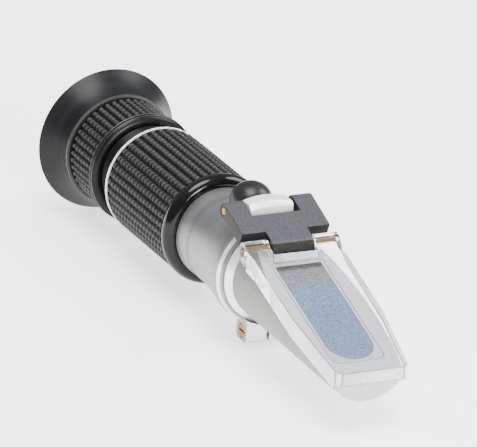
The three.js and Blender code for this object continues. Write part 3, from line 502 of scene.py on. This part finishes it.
def refined(node, width, chosen=None, clamped=True):
    """Copies a CAD node's mesh, joins its flat faces and rounds its sharp edges."""
    made = bmesh.new()
    made.from_mesh(frame["nodes"][node].data)
    bmesh.ops.remove_doubles(made, verts=made.verts, dist=WELD)
    bmesh.ops.dissolve_limit(made, angle_limit=FLAT_ANGLE, verts=made.verts, edges=made.edges)
    sharp = [
        edge for edge in made.edges
        if len(edge.link_faces) == 2 and edge.calc_face_angle() > SHARP_ANGLE
        and (chosen is None or chosen(edge))
    ]
    bmesh.ops.bevel(
        made, geom=sharp, offset=width, segments=EDGE_STEPS, profile=ROUND_PROFILE,
        affect="EDGES", clamp_overlap=clamped)
    piece = piece_of(node + "_detail", mesh_from(made, node + "_detail"), node)
    even = piece.modifiers.new("flat_faces_stay_flat", "WEIGHTED_NORMAL")
    even.weight = LARGE_FACE_WEIGHT
    even.keep_sharp = True
    return piece


def axis_point(made, x, turn, radius):
    """A point at a station, a turn and a radius about the instrument's axis."""
    return made.verts.new((x, radius * math.sin(turn), AXIS_HEIGHT + radius * math.cos(turn)))


def join_rings(made, rings):
    """Faces between each closed ring of points and the next, all the way round."""
    for index, here in enumerate(rings):
        there = rings[(index + 1) % len(rings)]
        for point in range(len(here)):
            other = (point + 1) % len(here)
            made.faces.new((here[point], there[point], there[other], here[other]))
    bmesh.ops.recalc_face_normals(made, faces=made.faces)


def turned_mesh(name, outline):
    """Turns a closed outline of (station, radius) points about the instrument's axis."""
    made = bmesh.new()
    turns = [FULL_TURN * side / LATHE_SIDES for side in range(LATHE_SIDES)]
    join_rings(made, [[axis_point(made, x, turn, radius) for x, radius in outline] for turn in turns])
    return mesh_from(made, name)


def lathed(name, node, outline):
    """A turned piece that stands for a CAD node."""
    return piece_of(name, turned_mesh(name, outline), node)


def radius_of(node):
    """Outer radius of a CAD node that is round about the axis."""
    low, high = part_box(node)
    return (high.y - low.y) / 2


def from_axis(place):
    """Distance of a place from the instrument's axis."""
    return math.hypot(place.y, place.z - AXIS_HEIGHT)


def add_finish(mesh, finish):
    """Adds a finish to a mesh and tells its place among the mesh's materials."""
    mesh.materials.append(finishes[finish])
    return len(mesh.materials) - 1


def polish(piece, chosen, finish="polished_metal"):
    """Gives the faces that a test picks a finish of their own."""
    added = add_finish(piece.data, finish)
    for face in piece.data.polygons:
        if chosen(face.center, face.normal):
            face.material_index = added


# Eyecup, tube and knurled sleeves

def make_eyecup():
    """A soft flared cup with a rounded rim, slightly hollow sides and a thin bead at its base, painted paler
    as a painted highlight.
    """
    low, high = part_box("eyecup")
    rim = radius_of("eyecup")
    bore = radius_of("focus_barrel") - EYECUP_BORE_STEP
    base = bore + EYECUP_BASE_WALL
    floor = low.x + (high.x - low.x) * EYECUP_FLOOR_SHARE
    flare_start = low.x + EYECUP_RIM_ROUND
    flare_end = high.x - EYECUP_BEAD_LENGTH
    outer = []
    for step in range(EYECUP_STEPS + 1):
        share = step / EYECUP_STEPS
        straight = rim + (base - rim) * share
        hollow = EYECUP_HOLLOW * math.sin(math.pi * share)
        outer.append((flare_start + (flare_end - flare_start) * share, straight - hollow))
    bead_top = base + EYECUP_BEAD
    outline = [
        (low.x, rim - EYECUP_WALL),
        (low.x, rim - EYECUP_RIM_ROUND),
        (low.x + EYECUP_RIM_IN, rim - EYECUP_RIM_DOWN),
        *outer,
        (flare_end + EYECUP_BEAD_SLOPE, bead_top),
        (high.x - EYECUP_BEAD_SLOPE, bead_top),
        (high.x, base - EYECUP_BEAD_FALL),
        (high.x, bore),
        (floor, bore),
        (floor, bore + EYECUP_LEDGE),
    ]
    cup = lathed("eyecup_detail", "eyecup", outline)
    polish(cup, lambda place, normal: place.x > flare_end and from_axis(place) > base, "rubber_painted_highlight")


def make_main_tube():
    """The black tube, whose neck between the eyepiece and the grip is turned with fine rings."""
    low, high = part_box("main_tube")
    outer = radius_of("main_tube")
    inner = outer - TUBE_WALL
    neck_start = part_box("focus_barrel")[1].x
    neck_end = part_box("grip_end_ring")[0].x
    rings = round((neck_end - neck_start) / NECK_RING_PITCH)
    pitch = (neck_end - neck_start) / rings
    outline = [(low.x, inner), (low.x, outer)]
    for ring in range(rings):
        start = neck_start + ring * pitch
        outline += [
            (start + share * pitch, outer - NECK_RING_DEPTH * (1 - height))
            for share, height in NECK_RING_BENDS
        ]
    outline += [(neck_end, outer), (high.x, outer), (high.x, inner)]
    lathed("main_tube_detail", "main_tube", outline)


def tooth_height(share):
    """Height of a tooth across its pitch, from 0 in the groove to 1 on top."""
    from_crest = abs(share - TOOTH_MIDDLE) / TOOTH_MIDDLE
    groove = 1 - GROOVE_SHARE
    if from_crest <= TOOTH_TOP_SHARE:
        return 1
    return max(0, (groove - from_crest) / (groove - TOOTH_TOP_SHARE))


def tooth_shares():
    """Where a tooth's outline bends, as shares of its pitch: groove, slope, top, slope and groove."""
    rise = GROOVE_SHARE / 2
    top = TOOTH_MIDDLE - TOOTH_TOP_SHARE / 2
    top_end = TOOTH_MIDDLE + TOOTH_TOP_SHARE / 2
    fall_end = 1 - rise
    return [0, rise, (rise + top) / 2, top, top_end, (top_end + fall_end) / 2, fall_end]


def knurled(name, node, inner, rows, phase):
    """A rubber sleeve with rows of square teeth and a narrow plain band at each end."""
    low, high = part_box(node)
    outer = radius_of(node)
    start, end = low.x + PLAIN_END, high.x - PLAIN_END
    teeth = round((end - start) / TOOTH_PITCH)
    pitch = (end - start) / teeth
    shares = tooth_shares()
    toothed = [(start + (tooth + along) * pitch, along) for tooth in range(teeth) for along in shares]
    stations = [(low.x, None), (start, None), *toothed, (end, None), (high.x, None)]
    made = bmesh.new()
    crest = made.verts.layers.float.new("crest")

    def point(x, turn, height, radius):
        vert = axis_point(made, x, turn, radius)
        vert[crest] = height
        return vert

    def height_at(across, along):
        if along is None:
            return PLAIN_END_HEIGHT
        return min(tooth_height(across), 1 - PIT_SHARE * (1 - tooth_height(along)))

    rings = []
    for row in range(rows):
        for across in shares:
            turn = phase + FULL_TURN * (row + across) / rows
            ring = [point(low.x, turn, 0, inner)]
            for x, along in stations:
                height = height_at(across, along)
                ring.append(point(x, turn, height, outer - TOOTH_DEPTH * (1 - height)))
            ring.append(point(high.x, turn, 0, inner))
            rings.append(ring)
    join_rings(made, rings)
    piece_of(name, mesh_from(made, name, KNURL_SHARP_ANGLE), node)


def make_grips():
    """The long grip on the tube, and the focusing sleeve on the eyepiece's barrel."""
    tube = radius_of("main_tube")
    knurled("rubber_grip_detail", "rubber_grip", tube + SEAM, GRIP_ROWS, GRIP_PHASE)
    barrel = tube + SEAM + BARREL_WALL
    knurled("focus_grip_detail", "focus_grip", barrel + SEAM, SLEEVE_ROWS, SLEEVE_PHASE)


# Rings, screws and pins, body, head, link and plate

def make_small_pieces():
    """The CAD's own shapes with rounded edges, and a satin finish for the eyepiece's barrel."""
    widths = {
        "focus_barrel": RING_EDGE,
        "grip_end_ring": RING_EDGE,
        "grip_front_ring": FRONT_RING_EDGE,
        "prism_seal": SMALL_EDGE,
        "prism": SMALL_EDGE,
        "clamp_screw": SMALL_EDGE,
        "calibration_cap": PLASTIC_EDGE,
        "calibration_screw": SMALL_EDGE,
        "rear_hinge_pin": SMALL_EDGE,
        "front_hinge_pin": SMALL_EDGE,
    }
    made = {node: refined(node, width) for node, width in widths.items()}
    made["focus_barrel"].data.materials[0] = finishes["black_satin"]


def bell_radius(body):
    """Radius of the metal body where it is widest, level with the axis."""
    level = [corner.co for corner in body.data.vertices if abs(corner.co.z - AXIS_HEIGHT) < MM]
    return max(from_axis(place) for place in level)


def make_front_body():
    """The metal body: a bright clamp ring and lugs, whose white is painted reflection on polished metal,
    darker cut ends, and a black face in the gap before the head, painted shade for the shadow there.
    """
    body = refined("front_body", METAL_EDGE, clamped=False)
    boss_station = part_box("calibration_screw")[0].x
    bell = bell_radius(body)
    waist = bell * WAIST_SHARE

    def on_lug(place):
        return from_axis(place) > bell + LUG_RISE and abs(place.x - boss_station) > BOSS_REACH

    def bright(place, normal):
        return on_lug(place) or (normal.x > POLISHED_SLOPE and from_axis(place) > waist)

    def on_hinge_lug(place, normal):
        return on_lug(place) and place.z > AXIS_HEIGHT

    def on_lug_cut(place, normal):
        cut_face = abs(normal.y) > CUT_SLOPE or normal.z < -CUT_SLOPE
        return on_lug(place) and place.z < AXIS_HEIGHT and cut_face

    def in_shaded_gap(place, normal):
        return normal.x > GAP_SLOPE and place.x > BEVEL_END - GAP_REACH and from_axis(place) < waist

    polish(body, bright)
    polish(body, on_hinge_lug, "bright_metal")
    polish(body, on_lug_cut, "cut_metal")
    # painted shade: the front face in the gap before the head is painted black for the shadow in that gap
    polish(body, in_shaded_gap, "black_satin")
    return body


def make_prism_head(body):
    """The metal head: a polished rear bevel, a bright slanted face and a paler end face, their pale colours
    painted reflection.
    """
    head = refined("prism_housing", HOUSING_EDGE, clamped=False)
    bevel_radius = bell_radius(body) * HEAD_BEVEL_SHARE

    def on_bevel(place, normal):
        return place.x < BEVEL_END and normal.x > POLISHED_SLOPE and from_axis(place) > bevel_radius

    def on_face(place, normal):
        return place.x > BEVEL_END and normal.z > FACE_SLOPE and normal.x > 0

    def on_end(place, normal):
        return place.x > BEVEL_END and normal.x > END_SLOPE

    polish(head, on_bevel)
    polish(head, on_face, "face_metal")
    polish(head, on_end, "end_metal")


def in_pin_hole(edge):
    """Tells whether an edge belongs to a hinge pin's hole."""
    for pin in ("rear_hinge_pin", "front_hinge_pin"):
        low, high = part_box(pin)
        middle = (low + high) / 2
        reach = (high.z - low.z) / 2 + SEAM
        if all(math.hypot(vert.co.x - middle.x, vert.co.z - middle.z) < reach for vert in edge.verts):
            return True
    return False


def make_hinge_bracket():
    """The grained plastic link, smoother and painted darker on its sides and lower front, as painted shade.
    """
    link = refined("hinge_bracket", BRACKET_EDGE, chosen=lambda edge: not in_pin_hole(edge), clamped=False)
    polish(link, lambda place, normal: normal.z < TOP_SLOPE, "bracket_side_painted_shade")


def ahead_of_ears(edge):
    """Tells whether an edge of the plate lies in front of its two ears."""
    return min(vert.co.x for vert in edge.verts) > EARS_END


def make_daylight_plate():
    """The clear plate: its walls are painted whiter, with a painted glow for the light inside the sheet, its
    rounded edges get painted grey lines, its ears stay clear.
    """
    mesh = refined("daylight_plate", PLATE_EDGE, chosen=ahead_of_ears).data
    glowing_wall = add_finish(mesh, "clear_wall_painted_glow")
    edge = add_finish(mesh, "clear_edge_painted_lines")
    tongue_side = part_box("hinge_bracket")[1].y / 2
    for face in mesh.polygons:
        behind_tongue = face.normal.x < -WALL_SLOPE and abs(face.center.y) < tongue_side
        if face.center.x < EARS_END and not behind_tongue:
            continue
        shortest = min((mesh.vertices[a].co - mesh.vertices[b].co).length for a, b in face.edge_keys)
        narrow = shortest < EDGE_FACE_WIDTH and face.area < EDGE_FACE_WIDTH * EDGE_FACE_LENGTH
        if narrow and len(face.vertices) <= 4:
            face.material_index = edge
        elif abs(face.normal.y) > WALL_SLOPE or face.normal.x > WALL_SLOPE or behind_tongue:
            face.material_index = glowing_wall


# Fine rings

def thin_ring(name, start, radius, width, rise, node, finish):
    """A fine raised line round a turned piece, on the same body, in a finish of its own."""
    shoulder = width / LINE_PARTS
    outline = [
        (start, radius),
        (start + shoulder, radius + rise),
        (start + width - shoulder, radius + rise),
        (start + width, radius),
        (start + width, radius - rise),
        (start, radius - rise),
    ]
    mesh = turned_mesh(name, outline)
    add_finish(mesh, finish)
    ring = bpy.data.objects.new(name, mesh)
    bpy.context.scene.collection.objects.link(ring)
    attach(ring, body_of[node])


def make_body_lines():
    """Plain thin rings round the body, in front of the grip."""
    tube = radius_of("main_tube") - BODY_LINE_STEP
    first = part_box("grip_front_ring")[1].x + BODY_LINE_SETBACK
    for line in range(BODY_LINES):
        start = first + line * BODY_LINE_PITCH
        thin_ring(
            f"body_line_{line + 1}", start, tube, BODY_LINE_WIDTH, BODY_LINE_RISE,
            "main_tube", "printed_line")


def make_lip_lines():
    """Two fine steps round the front lip of the focusing sleeve, painted paler as painted highlights."""
    lip = radius_of("focus_barrel")
    places = (
        (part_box("focus_grip")[1].x + SEAM, lip),
        (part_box("focus_barrel")[1].x - LIP_SETBACK, lip - LIP_FALL),
    )
    for line, (start, radius) in enumerate(places):
        thin_ring(
            f"lip_line_{line + 1}", start, radius, LIP_LINE, LIP_STEP, "focus_barrel", "rubber_painted_highlight")


# The CAD's own nodes

def dress_inner_nodes():
    """Gives every CAD node its material, the inner ones that stay as they are too."""
    for node, shown in frame["nodes"].items():
        for place in shown.material_slots:
            place.material = finishes[slot_of[node]]


# Stage, light and camera

def make_floor():
    """A wide sheet of pale paper with a glow of its own, just under the object."""
    mesh = bpy.data.meshes.new("floor")
    corners = [
        (-FLOOR_HALF, -FLOOR_HALF),
        (FLOOR_HALF, -FLOOR_HALF),
        (FLOOR_HALF, FLOOR_HALF),
        (-FLOOR_HALF, FLOOR_HALF),
    ]
    mesh.from_pydata([(x, y, -FLOOR_GAP) for x, y in corners], [], [(0, 1, 2, 3)])
    mesh.materials.append(surface(
        "floor_paper", dark=(0.87, 0.865, 0.855), light=(0.9, 0.895, 0.885), rough=(0.7, 0.8),
        grain=2 * MM, depth=0.01 * MM, Emission_Color=(*WHITE, 1), Emission_Strength=FLOOR_GLOW))
    floor = bpy.data.objects.new("floor", mesh)
    bpy.context.scene.collection.objects.link(floor)


def make_world():
    """A pale surround, brightest overhead."""
    world = bpy.data.worlds.new("studio")
    world.use_nodes = True
    tree = world.node_tree
    place = tree.nodes.new("ShaderNodeTexCoord")
    split = tree.nodes.new("ShaderNodeSeparateXYZ")
    tree.links.new(place.outputs["Generated"], split.inputs["Vector"])
    tone = ramp(tree, split.outputs["Z"], WORLD_SIDE, WORLD_TOP, 0, WORLD_TOP_AT)
    background = tree.nodes["Background"]
    tree.links.new(tone, background.inputs["Color"])
    background.inputs["Strength"].default_value = WORLD_STRENGTH
    bpy.context.scene.world = world


def make_light(name, place, size, power, colour):
    """A round lamp, turned towards the object."""
    lamp = bpy.data.lights.new(name, "AREA")
    lamp.shape = "DISK"
    lamp.size = size
    lamp.energy = power
    lamp.color = colour
    holder = bpy.data.objects.new(name, lamp)
    holder.location = place
    holder.rotation_euler = (-Vector(place)).to_track_quat("-Z", "Y").to_euler()
    bpy.context.scene.collection.objects.link(holder)


def make_lights():
    """A key light overhead, a cooler one beyond the far side and a warmer one before the prism."""
    make_light("key", place=(0.25, -0.25, 1.2), size=0.8, power=26, colour=(1, 1, 1))
    make_light("far_side", place=(0.2, 0.9, 0.8), size=0.7, power=16, colour=(0.95, 0.97, 1))
    make_light("front", place=(1.3, 0, 0.45), size=0.5, power=27, colour=(1, 0.99, 0.97))


def make_camera():
    """The photograph's camera, at the angle, roll and distance that its round edges show."""
    lens = bpy.data.cameras.new("camera")
    lens.lens = CAMERA_LENS_MM
    lens.sensor_width = CAMERA_SENSOR_MM
    lens.clip_end = CAMERA_REACH
    holder = bpy.data.objects.new("camera", lens)
    back = Vector((
        math.sin(CAMERA_AZIMUTH) * math.cos(CAMERA_ELEVATION),
        -math.cos(CAMERA_AZIMUTH) * math.cos(CAMERA_ELEVATION),
        math.sin(CAMERA_ELEVATION),
    ))
    level = (-back).cross(Vector((0, 0, 1))).normalized()
    upward = level.cross(-back)
    right = level * math.cos(CAMERA_ROLL) + upward * math.sin(CAMERA_ROLL)
    up = upward * math.cos(CAMERA_ROLL) - level * math.sin(CAMERA_ROLL)
    turn = Matrix((right, up, back)).transposed().to_4x4()
    holder.matrix_world = Matrix.Translation(CAMERA_PLACE) @ turn
    bpy.context.scene.collection.objects.link(holder)
    bpy.context.scene.camera = holder


dress_inner_nodes()
make_eyecup()
make_main_tube()
make_grips()
make_small_pieces()
front_body = make_front_body()
make_prism_head(front_body)
make_hinge_bracket()
make_daylight_plate()
make_body_lines()
make_lip_lines()
make_floor()
make_world()
make_lights()
make_camera()
